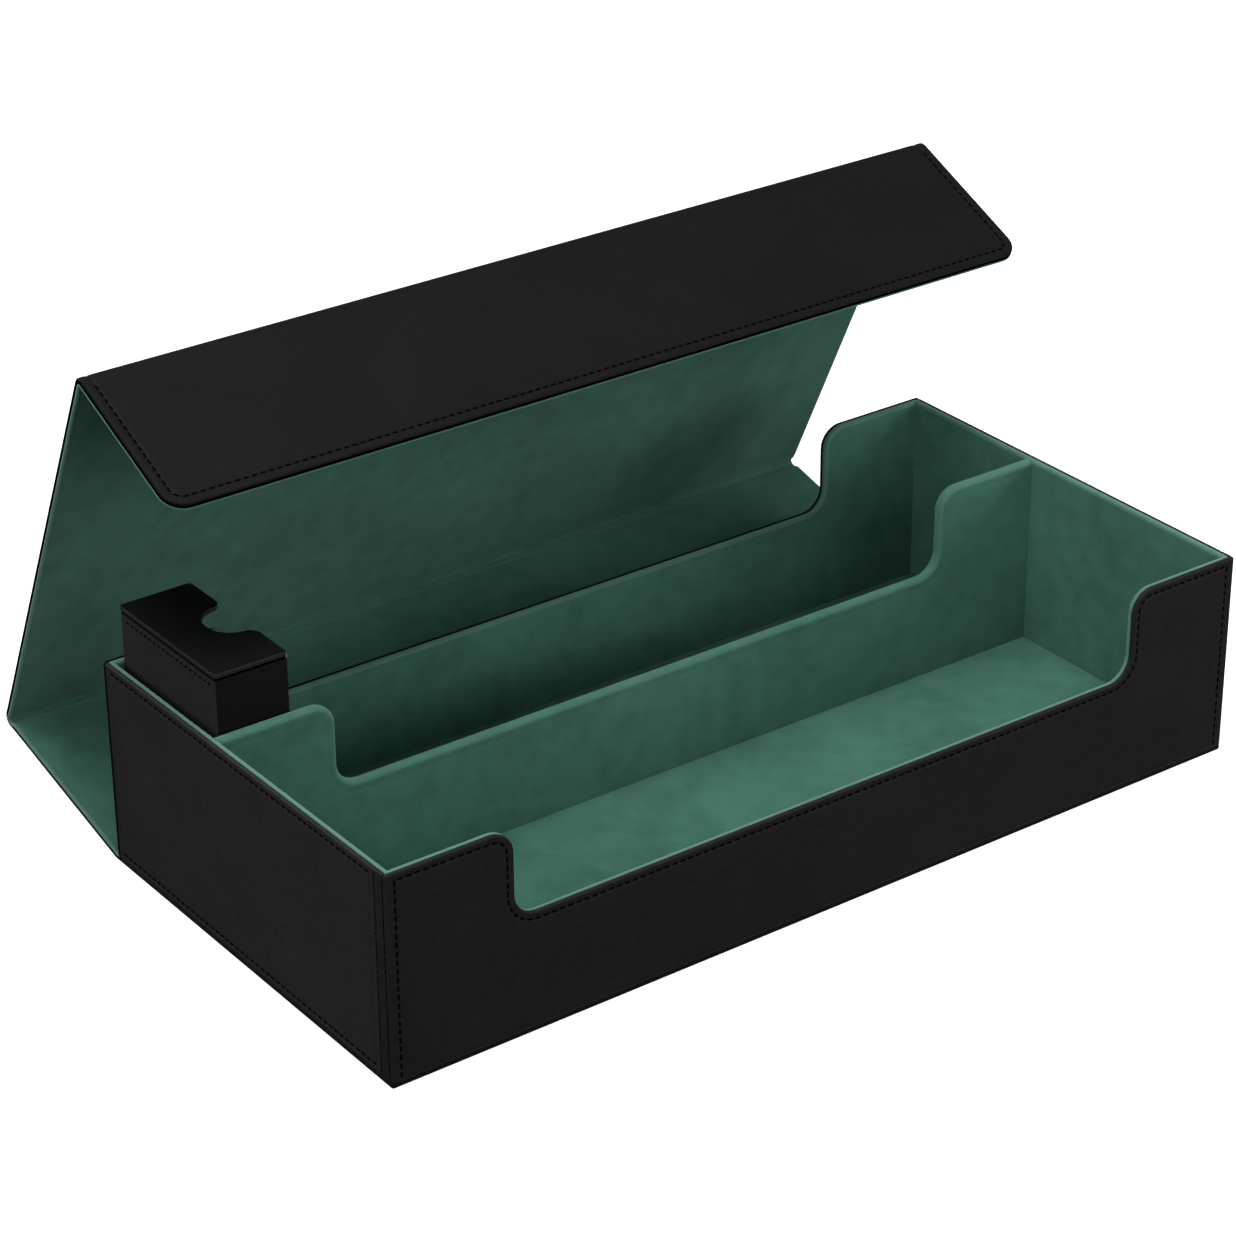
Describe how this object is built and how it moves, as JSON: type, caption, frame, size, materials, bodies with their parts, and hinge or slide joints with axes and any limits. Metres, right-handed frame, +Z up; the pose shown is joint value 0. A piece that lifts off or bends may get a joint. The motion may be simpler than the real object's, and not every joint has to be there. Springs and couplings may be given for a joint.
{
  "type": "card deck box",
  "caption": "Long card storage box with parallel rows, a folding wrap-round magnetic lid, dipped walls, a lengthwise divider and a lift-out card case.",
  "frame": {"origin": "centre of the base's underside, on the surface that the box stands on", "axes": "+X along the box's length towards the right end, -Y towards the front wall that the flap closes over, +Z up"},
  "size_m": [0.45, 0.3157, 0.2282],
  "materials": {
    "black_leather": "fine-grained matte synthetic leather",
    "green_microfibre": "soft brushed microfibre",
    "greyboard": "plain board",
    "magnet_plating": "nickel plated"
  },
  "bodies": {
    "box": {"back_wall_board": "greyboard", "back_wall_leather": "black_leather", "back_wall_lining": "green_microfibre", "base_hinge_strip": "black_leather", "cover_base_board": "greyboard", "cover_base_leather": "black_leather", "divider_board": "greyboard", "divider_lining": "green_microfibre", "floor_board": "greyboard", "front_row_floor_lining": "green_microfibre", "front_wall_board": "greyboard", "front_wall_leather": "black_leather", "front_wall_lining": "green_microfibre", "front_wall_magnets": "magnet_plating", "left_end_board": "greyboard", "left_end_leather": "black_leather", "left_end_lining": "green_microfibre", "rear_row_floor_lining": "green_microfibre", "right_end_board": "greyboard", "right_end_leather": "black_leather", "right_end_lining": "green_microfibre"},
    "cover_back": {"cover_back_board": "greyboard", "cover_back_leather": "black_leather", "cover_back_lining": "green_microfibre"},
    "cover_fold": {"top_fold_strip": "black_leather"},
    "cover_top": {"cover_top_board": "greyboard", "cover_top_leather": "black_leather", "cover_top_lining": "green_microfibre", "flap_fold_strip": "black_leather"},
    "cover_flap": {"cover_flap_board": "greyboard", "cover_flap_leather": "black_leather", "cover_flap_lining": "green_microfibre", "flap_magnets": "magnet_plating"},
    "card_case": {"case_back_board": "greyboard", "case_bottom_board": "greyboard", "case_front_board": "greyboard", "case_lining": "green_microfibre", "case_side_board": "greyboard", "case_top_board": "greyboard", "case_top_leather": "black_leather", "case_top_lining": "green_microfibre", "case_wrap_leather": "black_leather"}
  },
  "joints": [
    {"name": "back_hinge", "type": "hinge", "parent": "box", "child": "cover_back", "pos_m": [0, 0.1106, 0.0018], "axis": [-1, 0, 0], "range_deg": [-75.3, 14.7]},
    {"name": "fold_settle", "type": "hinge", "parent": "cover_back", "child": "cover_fold", "pos_m": [0, 0.20578, 0.02677], "axis": [-1, 0, 0], "range_deg": [-6.19, 30.9]},
    {"name": "top_hinge", "type": "hinge", "parent": "cover_fold", "child": "cover_top", "pos_m": [0, 0.20578, 0.02677], "axis": [-1, 0, 0], "range_deg": [-20, 106.69]},
    {"name": "flap_hinge", "type": "hinge", "parent": "cover_top", "child": "cover_flap", "pos_m": [0, 0.11081, 0.22677], "axis": [-1, 0, 0], "range_deg": [-0.9, 89.1]},
    {"name": "case_slide", "type": "slide", "parent": "box", "child": "card_case", "axis": [0, 0, 1], "range_m": [-0.0272, 0.00547]}
  ],
  "couplings": [
    {"joint": "fold_settle", "follows": "back_hinge", "ratio": -0.4077},
    {"joint": "case_slide", "follows": "back_hinge", "m_per_rad": 0.020544}
  ]
}
